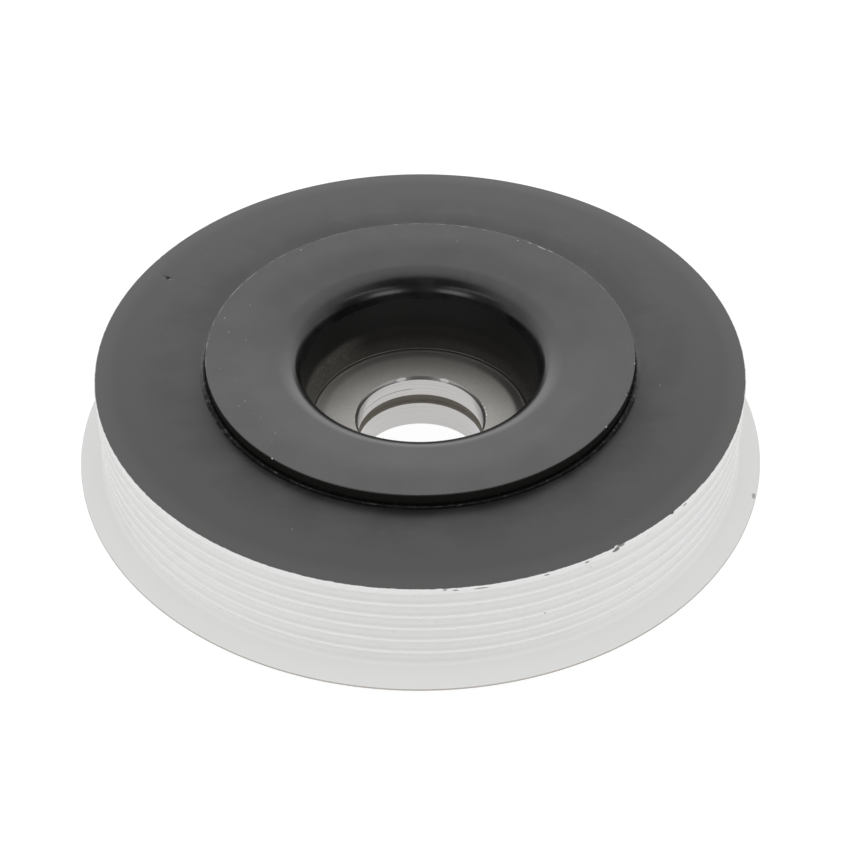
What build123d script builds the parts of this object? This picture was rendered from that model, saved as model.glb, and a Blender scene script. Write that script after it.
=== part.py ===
"""Rubber-coupled crankshaft pulley with a built-in torsional vibration damper.

Millimetres. +Z is the shaft axis and points out of the engine, towards the bolt head.
The origin lies on the shaft axis, in the rear face of the hub nose.

Load path: hub -> front_plate -> coupling_rubber -> coupling_ring -> belt_pulley.
The pulley is centred on the hub by bearing_bush.
The damper hangs on the hub: hub -> damper_carrier -> damping_rubber -> inertia_ring.
"""
from build123d import *
from math import radians, tan
import os

# ---------------------------------------------------------------- driving dimensions
# belt track
groove_count = 6
groove_pitch = 3.56
groove_angle = 40.0           # between the two flanks of a groove
rib_tip_width = 0.76          # land left between two grooves
groove_root_radius = 0.5
rib_tip_radius = 0.3
first_groove_inset = 3.19     # front face to the middle of the first groove
flange_rise = 5.6             # flange above the rib tips
flange_edge = 0.4             # thickness of the flange at its outer edge

# pulley body
face_height = 34.3            # front face of the web above the nose's rear face
rim_wall = 6.3                # rim's bore to the rib tips
web_thickness = 3.5
edge_band_width = 4.1         # outer band of the face that falls away towards the rim
edge_band_fall = 0.15
rim_corner_radius = 0.35
web_root_radius = 3.0
step_width = 3.3              # shelf under the bead, out to the web's inner edge
step_thickness = 2.8
pan_thickness = 3.0
pulley_collar_thickness = 2.5
rim_back_chamfer = 1.0
pulley_edge_break = 0.5

# raised front plate
plate_thickness = 2.4
plate_edge_break = 0.15
lip_radius = 6.3              # roll from the disc into the well, on the visible side
lip_collar = 1.1              # straight end of the lip below the roll
well_mouth_radius = 28.5

# hub
bore_radius = 15.0
bore_chamfer = 0.6
bore_groove_depth = 2.0
bore_groove_width = 2.7
bore_groove_height = 7.3      # lower side of the groove above the nose's rear face
nose_wall = 6.0
nose_chamfer = 0.8
nose_root_radius = 1.0
hub_back_height = 9.5
hub_floor_thickness = 5.2     # rear face of the hub to the washer seat
washer_seat_corner = 0.4
well_floor_land = 0.9         # step from the washer seat up to the foot of the wall
well_floor_width = 1.2        # land between the washer seat's edge and the wall
well_wall_draft = 2.8         # wall leans in by this much over its height
well_wall_setback = 0.4       # hub wall stands back from the lip's end
hub_mouth_wall = 1.6          # hub outside the lip's collar
hub_mouth_overlap = 1.9       # how far the hub's mouth reaches up round the lip's collar
hub_mouth_chamfer = 0.6
hub_edge_chamfer = 1.0

# plain bush
bush_thickness = 1.6
bush_collar_thickness = 1.8
bush_collar_rise = 5.9        # collar above the bush's outside
bush_setback = 1.7            # bush ends below the hub's mouth

# coupling rubber and the ring bonded to its back
bead_overhang = 0.95          # bead beyond the edge of the front plate
bead_height = 1.0
bead_gap = 0.45               # bead to the inner edge of the web
bead_edge_radius = 0.25
web_edge_height = 1.7         # straight inner edge of the web, beside the bead
rubber_width = 6.1
rubber_collar_gap = 1.9       # pulley's bearing collar to the rubber
rubber_ring_gap = 1.7         # rubber to the coupling ring's outer limb
rubber_shoulder_drop = 3.6    # front plate down to where the rubber has its full waist
coupling_ring_thickness = 1.5
coupling_ring_corner = 1.5
coupling_ring_setback = 2.5   # ring ends below the top of its seat
step_top_drop = 4.8           # front face down to the top of that seat

# damper
carrier_gap = 1.4             # pulley's step to the inside of the carrier
carrier_thickness = 2.5
carrier_bend_radius = 1.0     # inside radius of the bends
carrier_sleeve_length = 4.2
carrier_seat_offset = 1.5     # hub's rear face to the carrier's rear face
carrier_setback = 1.0         # carrier ends short of the inertia ring's front
damping_rubber_thickness = 3.0
damping_rubber_inset = 0.5    # rubber ends short of the carrier's front edge
damping_rubber_waist = 0.6    # hollow of the rubber's free end faces
inertia_ring_thickness = 10.1
ring_rim_gap = 1.4            # inertia ring to the rim's bore
ring_web_gap = 1.3            # inertia ring to the back of the web
ring_back_offset = 0.5        # inertia ring's rear face in front of the carrier's
inertia_ring_chamfer = 1.0
balance_hole_margin = 1.05    # metal left beside a balance hole
balance_hole_depth = 5.0
balance_hole_count = 3
balance_hole_spacing = 12.0   # degrees between neighbouring holes
balance_hole_start = 60.0     # degrees from +X to the first hole

# ---------------------------------------------------------------- shared places
# radii of the hub and what sits on it
bore_groove_radius = bore_radius + bore_groove_depth
nose_radius = bore_radius + nose_wall
lip_outer_radius = well_mouth_radius + plate_thickness
hub_wall_top_radius = well_mouth_radius + well_wall_setback
well_floor_radius = hub_wall_top_radius - well_wall_draft
washer_seat_radius = well_floor_radius - well_floor_width
journal_radius = lip_outer_radius + hub_mouth_wall
bush_outer_radius = journal_radius + bush_thickness
bush_collar_radius = bush_outer_radius + bush_collar_rise

# radii from the pulley's bearing collar out to the edge of the front plate
collar_outer_radius = bush_outer_radius + pulley_collar_thickness
rubber_inner_radius = collar_outer_radius + rubber_collar_gap
rubber_outer_radius = rubber_inner_radius + rubber_width
ring_limb_radius = rubber_outer_radius + rubber_ring_gap
step_radius = ring_limb_radius + coupling_ring_thickness
web_inner_radius = step_radius + step_width
bead_radius = web_inner_radius - bead_gap
plate_radius = bead_radius - bead_overhang

# radii of the damper and the rim
step_outer_radius = step_radius + step_thickness
flange_inner_radius = step_outer_radius + carrier_gap
carrier_seat_radius = flange_inner_radius + carrier_thickness
damper_bore_radius = carrier_seat_radius + damping_rubber_thickness
inertia_ring_radius = damper_bore_radius + inertia_ring_thickness
rim_bore_radius = inertia_ring_radius + ring_rim_gap
rim_radius = rim_bore_radius + rim_wall
flange_radius = rim_radius + flange_rise
flank_slope = tan(radians(groove_angle / 2))
groove_mouth = groove_pitch - rib_tip_width
groove_apex_radius = rim_radius - groove_mouth / 2 / flank_slope

# heights from the front face
plate_top = face_height + plate_thickness
lip_end_height = plate_top - lip_radius - lip_collar
hub_mouth_height = lip_end_height + hub_mouth_overlap
bush_front_height = hub_mouth_height - bush_setback
last_groove_height = face_height - first_groove_inset - (groove_count - 1) * groove_pitch
flange_front_height = last_groove_height - (flange_radius - groove_apex_radius) * flank_slope
rim_back_height = flange_front_height - flange_edge
web_back_height = face_height - web_thickness
seat_top_height = face_height - step_top_drop
coupling_ring_top = seat_top_height - coupling_ring_setback
inertia_ring_front = web_back_height - ring_web_gap
carrier_front_height = inertia_ring_front - carrier_setback

# heights from the hub's rear face
washer_seat_height = hub_back_height + hub_floor_thickness
well_floor_height = washer_seat_height + well_floor_land
carrier_back_height = hub_back_height + carrier_seat_offset
inertia_ring_back = carrier_back_height + ring_back_offset
bush_back_height = carrier_back_height + carrier_sleeve_length
pan_back_height = bush_back_height + bush_collar_thickness
pan_front_height = pan_back_height + pan_thickness
coupling_ring_front = pan_front_height + coupling_ring_thickness


def turned(*corners):
    """Solid turned about Z from a closed outline of (radius, height, corner radius)."""
    points = [(radius, 0, height) for radius, height, _ in corners]
    radii = [corner_radius for _, _, corner_radius in corners]
    outline = FilletPolyline(*points, radius=radii, close=True)
    return revolve(make_face(outline.edges()), Axis.Z)


def belt_track():
    """Corners of the grooved rim, from the first groove to the flange's outer edge."""
    corners = []
    for index in range(groove_count):
        middle = face_height - first_groove_inset - index * groove_pitch
        corners.append((rim_radius, middle + groove_mouth / 2, rib_tip_radius))
        corners.append((groove_apex_radius, middle, groove_root_radius))
        if index < groove_count - 1:
            corners.append((rim_radius, middle - groove_mouth / 2, rib_tip_radius))
    corners.append((flange_radius, flange_front_height, 0))
    corners.append((flange_radius, rim_back_height, 0))
    return corners


def belt_pulley():
    """Grooved rim, front web, and the sunken pan with its bearing collar, in one turned piece."""
    return turned(
        (web_inner_radius, face_height, pulley_edge_break),
        (rim_radius - edge_band_width, face_height, 0),
        (rim_radius, face_height - edge_band_fall, rim_corner_radius),
        *belt_track(),
        (rim_bore_radius + rim_back_chamfer, rim_back_height, 0),
        (rim_bore_radius, rim_back_height + rim_back_chamfer, 0),
        (rim_bore_radius, web_back_height, web_root_radius),
        (step_outer_radius, web_back_height, web_root_radius),
        (step_outer_radius, pan_back_height, web_root_radius),
        (bush_outer_radius, pan_back_height, pulley_edge_break),
        (bush_outer_radius, bush_front_height, 0),
        (collar_outer_radius, bush_front_height, pulley_edge_break),
        (collar_outer_radius, pan_front_height, coupling_ring_corner / 2),
        (step_radius, pan_front_height, coupling_ring_corner / 2),
        (step_radius, seat_top_height, 0),
        (web_inner_radius, face_height - web_edge_height, 0),
    )


def front_plate():
    """Pressed disc whose middle is rolled down into the bolt well."""
    return turned(
        (plate_radius, face_height, 0),
        (plate_radius, plate_top, plate_edge_break),
        (well_mouth_radius, plate_top, lip_radius),
        (well_mouth_radius, lip_end_height, plate_edge_break),
        (lip_outer_radius, lip_end_height, 0),
        (lip_outer_radius, face_height, lip_radius - plate_thickness),
    )


def hub():
    """Cup with a tapered wall, washer seat, grooved bore and rear nose."""
    groove_top = bore_groove_height + bore_groove_width
    return turned(
        (bore_radius + bore_chamfer, 0, 0),
        (nose_radius - nose_chamfer, 0, 0),
        (nose_radius, nose_chamfer, 0),
        (nose_radius, hub_back_height, nose_root_radius),
        (journal_radius - hub_edge_chamfer, hub_back_height, 0),
        (journal_radius, hub_back_height + hub_edge_chamfer, 0),
        (journal_radius, hub_mouth_height, hub_mouth_chamfer / 2),
        (lip_outer_radius + hub_mouth_chamfer, hub_mouth_height, 0),
        (lip_outer_radius, hub_mouth_height - 2 * hub_mouth_chamfer, 0),
        (lip_outer_radius, lip_end_height, 0),
        (hub_wall_top_radius, lip_end_height, 0),
        (well_floor_radius, well_floor_height, 0),
        (washer_seat_radius, well_floor_height, washer_seat_corner / 2),
        (washer_seat_radius, washer_seat_height, washer_seat_corner),
        (bore_radius + bore_chamfer, washer_seat_height, 0),
        (bore_radius, washer_seat_height - bore_chamfer, 0),
        (bore_radius, groove_top, 0),
        (bore_groove_radius, groove_top, 0),
        (bore_groove_radius, bore_groove_height, 0),
        (bore_radius, bore_groove_height, 0),
        (bore_radius, bore_chamfer, 0),
    )


def coupling_rubber():
    """Waisted rubber ring, bonded to the plate in front and to the coupling ring behind."""
    waist_top = face_height - rubber_shoulder_drop
    return turned(
        (bead_radius, face_height, bead_edge_radius),
        (bead_radius, face_height - bead_height, bead_edge_radius),
        (step_radius - 2 * bead_height, face_height - bead_height, bead_height),
        (rubber_outer_radius, waist_top, rubber_shoulder_drop / 2),
        (rubber_outer_radius, coupling_ring_front, 0),
        (rubber_inner_radius, coupling_ring_front, 0),
        (rubber_inner_radius, waist_top, rubber_shoulder_drop / 2),
        (rubber_inner_radius - bead_height, face_height, 0),
    )


def coupling_ring():
    """Angle-section ring pressed into the pulley's step."""
    ring_bore_radius = rubber_inner_radius - coupling_ring_thickness / 2
    return turned(
        (step_radius, pan_front_height, coupling_ring_corner),
        (step_radius, coupling_ring_top, 0),
        (ring_limb_radius, coupling_ring_top, 0),
        (ring_limb_radius, coupling_ring_front, 0),
        (ring_bore_radius, coupling_ring_front, 0),
        (ring_bore_radius, pan_front_height, 0),
    )


def bearing_bush():
    """Plain bush on the hub's journal, with a collar that takes the pulley's thrust."""
    return turned(
        (journal_radius, bush_back_height, 0),
        (bush_collar_radius, bush_back_height, 0),
        (bush_collar_radius, pan_back_height, 0),
        (bush_outer_radius, pan_back_height, 0),
        (bush_outer_radius, bush_front_height, 0),
        (journal_radius, bush_front_height, 0),
    )


def damper_carrier():
    """Channel ring: a short sleeve on the hub, a web, and a long flange for the damping rubber."""
    web_front_height = carrier_back_height + carrier_thickness
    outside_bend = carrier_bend_radius + carrier_thickness
    sleeve_radius = journal_radius + carrier_thickness
    return turned(
        (journal_radius, carrier_back_height, outside_bend),
        (carrier_seat_radius, carrier_back_height, outside_bend),
        (carrier_seat_radius, carrier_front_height, 0),
        (flange_inner_radius, carrier_front_height, 0),
        (flange_inner_radius, web_front_height, carrier_bend_radius),
        (sleeve_radius, web_front_height, carrier_bend_radius),
        (sleeve_radius, bush_back_height, 0),
        (journal_radius, bush_back_height, 0),
    )


def damping_rubber():
    """Rubber ring with hollow ends, bonded between the carrier and the inertia ring."""
    back = carrier_back_height + carrier_bend_radius + carrier_thickness
    front = carrier_front_height - damping_rubber_inset
    middle_radius = (carrier_seat_radius + damper_bore_radius) / 2
    return turned(
        (carrier_seat_radius, back, 0),
        (middle_radius, back + damping_rubber_waist, damping_rubber_waist),
        (damper_bore_radius, back, 0),
        (damper_bore_radius, front, 0),
        (middle_radius, front - damping_rubber_waist, damping_rubber_waist),
        (carrier_seat_radius, front, 0),
    )


def inertia_ring():
    """Cast ring with a row of blind balance holes drilled in its back."""
    ring = turned(
        (damper_bore_radius, inertia_ring_back, 0),
        (inertia_ring_radius - inertia_ring_chamfer, inertia_ring_back, 0),
        (inertia_ring_radius, inertia_ring_back + inertia_ring_chamfer, 0),
        (inertia_ring_radius, inertia_ring_front - inertia_ring_chamfer, 0),
        (inertia_ring_radius - inertia_ring_chamfer, inertia_ring_front, 0),
        (damper_bore_radius, inertia_ring_front, 0),
    )
    circle_radius = (damper_bore_radius + inertia_ring_radius) / 2
    hole = Cylinder(
        inertia_ring_radius - circle_radius - balance_hole_margin,
        balance_hole_depth,
        align=(Align.CENTER, Align.CENTER, Align.MIN),
    )
    for index in range(balance_hole_count):
        angle = balance_hole_start + index * balance_hole_spacing
        place = Rot(0, 0, angle) * Pos(circle_radius, 0, inertia_ring_back)
        ring -= place * hole
    return ring


PIECES = {
    "belt_pulley": belt_pulley,
    "front_plate": front_plate,
    "hub": hub,
    "coupling_rubber": coupling_rubber,
    "coupling_ring": coupling_ring,
    "bearing_bush": bearing_bush,
    "damper_carrier": damper_carrier,
    "damping_rubber": damping_rubber,
    "inertia_ring": inertia_ring,
}

os.makedirs("parts", exist_ok=True)
for name, make in PIECES.items():
    export_step(make(), f"parts/{name}.step")
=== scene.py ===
"""Harmonic balancer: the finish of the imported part, and a plain studio to see it in.

Sizes are in millimetres until a mesh is made; what Blender is given is in metres.
The frame is the part's own: the origin lies on the shaft axis in the rear face of the hub nose,
and +Z points out of the engine.
"""

import logging
import math
from collections.abc import Sequence
from dataclasses import dataclass
from enum import Enum

import bmesh
import bpy
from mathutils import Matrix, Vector


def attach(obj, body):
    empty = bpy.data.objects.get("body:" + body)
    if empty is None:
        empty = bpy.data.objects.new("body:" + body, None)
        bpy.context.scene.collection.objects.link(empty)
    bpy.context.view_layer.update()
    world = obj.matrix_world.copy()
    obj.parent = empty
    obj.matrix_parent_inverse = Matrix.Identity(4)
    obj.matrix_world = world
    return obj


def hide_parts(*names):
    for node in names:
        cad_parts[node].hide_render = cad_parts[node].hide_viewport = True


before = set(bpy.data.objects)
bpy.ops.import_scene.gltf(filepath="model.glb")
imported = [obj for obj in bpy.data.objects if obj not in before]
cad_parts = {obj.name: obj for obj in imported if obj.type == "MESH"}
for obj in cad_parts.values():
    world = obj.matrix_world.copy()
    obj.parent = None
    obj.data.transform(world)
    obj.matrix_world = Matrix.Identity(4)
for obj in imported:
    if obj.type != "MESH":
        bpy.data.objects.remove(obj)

MM = 0.001
ROOT = "root"
SMOOTH_ANGLE = math.radians(30)
Colour = tuple[float, float, float]
Direction = tuple[float, float, float]
FRONT: Direction = (0.0, -1.0, 0.0)
BACK: Direction = (0.0, 1.0, 0.0)
log = logging.getLogger("balancer")


class Slot(Enum):
    """Material slots of the record."""

    PULLEY_PAINT = "pulley_paint"
    PLATE_PAINT = "plate_paint"
    HUB_STEEL = "hub_steel"
    RUBBER = "rubber"
    PLATED_STEEL = "plated_steel"
    BUSH_PLASTIC = "bush_plastic"
    CARRIER_PAINT = "carrier_paint"
    CAST_RING = "cast_ring"


# ---------------------------------------------------------------- turning
@dataclass(frozen=True)
class Corner:
    """One corner of a turned outline: its radius, height, fillet radius and the fillet's facets."""

    radius: float
    height: float
    rounding: float = 0.0
    facets: int = 4

    @property
    def point(self) -> Vector:
        """The corner in the plane y = 0, in metres."""
        return Vector((self.radius, 0.0, self.height)) * MM


@dataclass(frozen=True)
class Lathe:
    """Turns outlines round the shaft axis.

    Attributes:
        steps: Facets of one full turn.
    """

    steps: int = 288

    def turn(self, name: str, corners: Sequence[Corner]) -> bpy.types.Object:
        """Makes a turned solid: outline, rounded corners, then one full turn.

        Args:
            name: Name of the new piece.
            corners: Corners of the closed outline, in order.

        Returns:
            The piece, with its place in its mesh.
        """
        bpy.ops.object.select_all(action="DESELECT")
        bpy.ops.mesh.primitive_plane_add(size=MM, location=corners[0].point)
        piece = bpy.context.object
        piece.name = piece.data.name = name
        bpy.ops.object.transform_apply(location=True, rotation=True, scale=True)
        bpy.ops.object.mode_set(mode="EDIT")
        bpy.ops.mesh.merge(type="CENTER")
        for here, there in zip(corners, corners[1:]):
            bpy.ops.mesh.extrude_region_move(
                TRANSFORM_OT_translate={"value": there.point - here.point}
            )
        pick_points(piece, [corners[0].point, corners[-1].point])
        bpy.ops.mesh.edge_face_add()
        self._round_corners(piece, corners)
        bpy.ops.mesh.select_all(action="SELECT")
        bpy.ops.mesh.spin(
            steps=self.steps, angle=math.tau, center=(0, 0, 0), axis=(0, 0, 1)
        )
        bpy.ops.mesh.select_all(action="SELECT")
        bpy.ops.mesh.remove_doubles(threshold=1e-6)
        bpy.ops.mesh.normals_make_consistent(inside=False)
        bpy.ops.object.mode_set(mode="OBJECT")
        bpy.ops.object.shade_smooth_by_angle(angle=SMOOTH_ANGLE)
        return piece

    @staticmethod
    def _round_corners(piece: bpy.types.Object, corners: Sequence[Corner]) -> None:
        """Bevels each corner that has a fillet.

        Args:
            piece: The closed outline, in edit mode.
            corners: Its corners, in order.
        """
        for index, corner in enumerate(corners):
            if not corner.rounding:
                continue
            before = corners[index - 1].point - corner.point
            after = corners[(index + 1) % len(corners)].point - corner.point
            pick_points(piece, [corner.point])
            bpy.ops.mesh.bevel(
                affect="VERTICES",
                offset=corner.rounding * MM / math.tan(before.angle(after) / 2),
                offset_type="OFFSET",
                segments=corner.facets,
                profile=0.5,
                clamp_overlap=False,
            )


def pick_points(piece: bpy.types.Object, points: Sequence[Vector]) -> None:
    """Selects the vertex nearest to each point.

    Args:
        piece: A piece in edit mode.
        points: Places in the frame, in metres.
    """
    bpy.ops.mesh.select_all(action="DESELECT")
    mesh = bmesh.from_edit_mesh(piece.data)
    for point in points:
        nearest = min(mesh.verts, key=lambda vertex: (vertex.co - point).length)
        nearest.select = True
    mesh.select_flush(True)
    bmesh.update_edit_mesh(piece.data)


@dataclass(frozen=True)
class Dent:
    """A place where a knock has moved the metal.

    Attributes:
        place: Middle of the dent, in mm.
        push: How far, and which way, the metal has moved, in mm.
        reach: Radius of the dent in mm.
    """

    place: tuple[float, float, float]
    push: tuple[float, float, float]
    reach: float

    def strike(self, piece: bpy.types.Object) -> None:
        """Divides the faces round the place and pushes them.

        Args:
            piece: A finished piece, in object mode.
        """
        middle = Vector(self.place) * MM
        bpy.ops.object.select_all(action="DESELECT")
        piece.select_set(True)
        bpy.context.view_layer.objects.active = piece
        bpy.ops.object.mode_set(mode="EDIT")
        for _ in range(2):
            bpy.ops.mesh.select_all(action="DESELECT")
            mesh = bmesh.from_edit_mesh(piece.data)
            for face in mesh.faces:
                spread = max(edge.calc_length() for edge in face.edges)
                near = min((vertex.co - middle).length for vertex in face.verts)
                if near < 2.2 * self.reach * MM or (
                    near < spread / 2 and face_holds(face, middle)
                ):
                    face.select = True
            bmesh.update_edit_mesh(piece.data)
            bpy.ops.mesh.subdivide(number_cuts=3)
        pick_points(piece, [middle])
        bpy.ops.transform.translate(
            value=Vector(self.push) * MM,
            use_proportional_edit=True,
            proportional_edit_falloff="SMOOTH",
            proportional_size=self.reach * MM,
        )
        bpy.ops.object.mode_set(mode="OBJECT")
        bpy.ops.object.shade_smooth_by_angle(angle=SMOOTH_ANGLE)


def face_holds(face: bmesh.types.BMFace, point: Vector) -> bool:
    """Tells whether a point's foot on the face's plane lies in the face.

    Args:
        face: A convex face.
        point: A place near its plane.

    Returns:
        True where the foot lies inside every edge.
    """
    for loop in face.loops:
        side = loop.link_loop_next.vert.co - loop.vert.co
        if side.cross(point - loop.vert.co).dot(face.normal) < 0:
            return False
    return True


def settle_normals(piece: bpy.types.Object) -> None:
    """Keeps broad faces flat-looking beside small fillets, by weighting normals by area.

    Args:
        piece: A finished piece, in object mode.
    """
    bpy.ops.object.select_all(action="DESELECT")
    piece.select_set(True)
    bpy.context.view_layer.objects.active = piece
    bpy.ops.object.modifier_add(type="WEIGHTED_NORMAL")
    modifier = piece.modifiers[-1]
    modifier.keep_sharp = True
    bpy.ops.object.modifier_apply(modifier=modifier.name)


# ---------------------------------------------------------------- finishes
def toned(colour: Colour, factor: float) -> Colour:
    """A colour made lighter or darker by a factor."""
    return tuple(factor * value for value in colour)


class Nodes:
    """Builds a node tree. Numbers, colours and sockets are given alike."""

    def __init__(self, tree: bpy.types.NodeTree) -> None:
        """Empties the tree.

        Args:
            tree: The tree of a material or a world.
        """
        self.tree = tree
        self.tree.nodes.clear()

    def add(self, kind: str, settings: dict | None = None, **inputs: object) -> bpy.types.Node:
        """Adds a node.

        Args:
            kind: Its type name.
            settings: Its own properties.
            **inputs: Values or sockets for its inputs, with _ for a space in a name.

        Returns:
            The node.
        """
        node = self.tree.nodes.new(kind)
        for key, value in (settings or {}).items():
            setattr(node, key, value)
        for key, value in inputs.items():
            self.feed(node.inputs[key.replace("_", " ")], value)
        return node

    def feed(self, socket: bpy.types.NodeSocket, value: object) -> None:
        """Gives an input a socket to read, or a constant.

        Args:
            socket: The input.
            value: A socket, number, vector or colour.
        """
        if isinstance(value, bpy.types.NodeSocket):
            self.tree.links.new(value, socket)
        elif socket.type == "RGBA" and len(value) == 3:
            socket.default_value = (*value, 1.0)
        else:
            socket.default_value = value

    def math(self, operation: str, *values: object) -> bpy.types.NodeSocket:
        """A Math node's result.

        Args:
            operation: Its operation.
            *values: Its inputs, in order.

        Returns:
            The result's socket.
        """
        node = self.add("ShaderNodeMath", {"operation": operation})
        for socket, value in zip(node.inputs, values):
            self.feed(socket, value)
        return node.outputs[0]

    def vector(self, operation: str, *values: object, scale: object = None) -> bpy.types.NodeSocket:
        """A Vector Math node's result.

        Args:
            operation: Its operation.
            *values: Its vector inputs, in order.
            scale: The factor of a SCALE operation.

        Returns:
            The result's socket: a number for LENGTH, DISTANCE and DOT_PRODUCT.
        """
        node = self.add("ShaderNodeVectorMath", {"operation": operation})
        for socket, value in zip(node.inputs, values):
            self.feed(socket, value)
        if scale is not None:
            self.feed(node.inputs["Scale"], scale)
        number = operation in ("LENGTH", "DISTANCE", "DOT_PRODUCT")
        return node.outputs["Value" if number else "Vector"]

    def product(self, first: object, *others: object) -> object:
        """Multiplies numbers or masks."""
        for other in others:
            first = self.math("MULTIPLY", first, other)
        return first

    def outside(self, mask: object) -> bpy.types.NodeSocket:
        """1 where the mask is 0, and the other way round."""
        return self.math("SUBTRACT", 1.0, mask)

    def rise(self, value: object, low: float, high: float) -> bpy.types.NodeSocket:
        """Goes smoothly from 0 at low to 1 at high, or the other way where low is the larger."""
        flip = low > high
        node = self.add(
            "ShaderNodeMapRange",
            {"interpolation_type": "SMOOTHSTEP"},
            Value=value,
            From_Min=min(low, high),
            From_Max=max(low, high),
            To_Min=1.0 if flip else 0.0,
            To_Max=0.0 if flip else 1.0,
        )
        return node.outputs[0]

    def band(self, value: object, low: float, high: float, soft: float) -> bpy.types.NodeSocket:
        """1 between low and high, 0 outside, with edges of width soft."""
        return self.product(
            self.rise(value, low - soft / 2, low + soft / 2),
            self.rise(value, high + soft / 2, high - soft / 2),
        )

    def mix(self, factor: object, first: object, second: object) -> bpy.types.NodeSocket:
        """Mixes two colours, from first at 0 to second at 1."""
        node = self.add("ShaderNodeMix", {"data_type": "RGBA"})
        self.feed(node.inputs[0], factor)
        self.feed(node.inputs[6], first)
        self.feed(node.inputs[7], second)
        return node.outputs[2]

    def blend(self, factor: object, first: object, second: object) -> bpy.types.NodeSocket:
        """Mixes two numbers that may be sockets, from first at 0 to second at 1."""
        return self.add("ShaderNodeMix", Factor=factor, A=first, B=second).outputs[0]

    def lerp(self, factor: object, first: float, second: float) -> bpy.types.NodeSocket:
        """Mixes two numbers, from first at 0 to second at 1."""
        return self.add("ShaderNodeMapRange", Value=factor, To_Min=first, To_Max=second).outputs[0]


class Graph(Nodes):
    """Builds one material's nodes.

    Attributes:
        place: The surface point in the frame, in mm.
        radius: Its distance from the shaft axis, in mm.
        height: Its height above the nose's rear face, in mm.
        around: The unit vector from the axis to it.
    """

    def __init__(self, name: str) -> None:
        """Starts an empty material.

        Args:
            name: The material's name.
        """
        self.material = bpy.data.materials.new(name)
        self.material.use_nodes = True
        super().__init__(self.material.node_tree)
        metres = self.add("ShaderNodeTexCoord").outputs["Object"]
        self.place = self.vector("SCALE", metres, scale=1 / MM)
        parts = self.add("ShaderNodeSeparateXYZ", Vector=self.place)
        self.height = parts.outputs["Z"]
        flat = self.add(
            "ShaderNodeCombineXYZ", X=parts.outputs["X"], Y=parts.outputs["Y"]
        ).outputs[0]
        self.radius = self.vector("LENGTH", flat)
        self.around = self.vector("NORMALIZE", flat)

    def noise(
        self, vector: object, scale: float, detail: float = 2.0, roughness: float = 0.5
    ) -> bpy.types.NodeSocket:
        """Noise between 0 and 1.

        Args:
            vector: Where it is read.
            scale: Its waves to one unit of the vector.
            detail: Its octaves.
            roughness: Strength of each finer octave.

        Returns:
            The noise's socket.
        """
        node = self.add(
            "ShaderNodeTexNoise", Vector=vector, Scale=scale, Detail=detail, Roughness=roughness
        )
        return node.outputs[0]

    def facing(self, side: Direction) -> bpy.types.NodeSocket:
        """Cosine between the way out from the axis and a side."""
        return self.vector("DOT_PRODUCT", self.around, side)

    def specks(self, scale: float, low: float, high: float, strength: float) -> bpy.types.NodeSocket:
        """Small scattered specks: the peaks of a noise between low and high."""
        return self.product(self.rise(self.noise(self.place, scale, 4.0, 0.6), low, high), strength)

    def haze(self, scale: float, colour: Colour, high: float) -> bpy.types.NodeSocket:
        """A colour in soft clouds, from half as light to high times as light."""
        clouds = self.rise(self.noise(self.place, scale, 4.0, 0.6), 0.38, 0.64)
        return self.mix(clouds, toned(colour, 0.5), toned(colour, high))

    def spin_noise(
        self, across: float, along: float, vertical: float, detail: float = 2.0
    ) -> bpy.types.NodeSocket:
        """Noise that follows the turning: lines round the axis, or strokes across them.

        Args:
            across: Waves to a millimetre of radius.
            along: Waves round the axis for each unit of the direction vector.
            vertical: Waves to a millimetre of height.
            detail: Its octaves.

        Returns:
            The noise's socket.
        """
        turned = self.vector("SCALE", self.around, scale=along)
        lifted = self.add(
            "ShaderNodeCombineXYZ",
            X=self.product(self.radius, across),
            Z=self.product(self.height, vertical),
        ).outputs[0]
        return self.noise(self.vector("ADD", turned, lifted), 1.0, detail)

    def marks(self, marks: "Sequence[Mark]", ragged: float = 0.12) -> bpy.types.NodeSocket:
        """Where any of the marks lies.

        Args:
            marks: Flaws of the finish.
            ragged: How far their edges wander, in mm.

        Returns:
            A mask's socket.
        """
        wander = self.add("ShaderNodeTexNoise", Vector=self.place, Scale=2.2, Detail=2.0).outputs["Color"]
        wander = self.vector("SUBTRACT", wander, (0.5, 0.5, 0.5))
        wander = self.vector("SCALE", wander, scale=2 * ragged)
        place = self.vector("ADD", self.place, wander)
        mask: object = 0.0
        for mark in marks:
            local = self.add(
                "ShaderNodeMapping",
                {"vector_type": "TEXTURE"},
                Vector=place,
                Location=mark.middle,
                Rotation=(0.0, 0.0, math.radians(mark.angle + mark.slant)),
                Scale=(mark.width / 2, mark.length / 2, mark.tall / 2),
            ).outputs[0]
            spot = self.rise(self.vector("LENGTH", local), 1.15, 0.75)
            mask = self.math("MAXIMUM", mask, self.product(spot, mark.strength))
        return mask

    def bump(
        self, height: object, distance: float, normal: object = None
    ) -> bpy.types.NodeSocket:
        """Bump from a height between 0 and 1.

        Args:
            height: The height's socket.
            distance: The bump's depth in mm.
            normal: A bump that lies under it.

        Returns:
            The normal's socket.
        """
        node = self.add("ShaderNodeBump", Height=height, Distance=distance * MM)
        if normal is not None:
            self.feed(node.inputs["Normal"], normal)
        return node.outputs[0]

    def finish(self, **inputs: object) -> bpy.types.Material:
        """Ends the material with a Principled shader.

        Args:
            **inputs: Values or sockets for the shader's inputs, with _ for a space in a name.

        Returns:
            The material.
        """
        shader = self.add("ShaderNodeBsdfPrincipled", **inputs)
        self.add("ShaderNodeOutputMaterial", Surface=shader.outputs[0])
        return self.material


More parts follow.
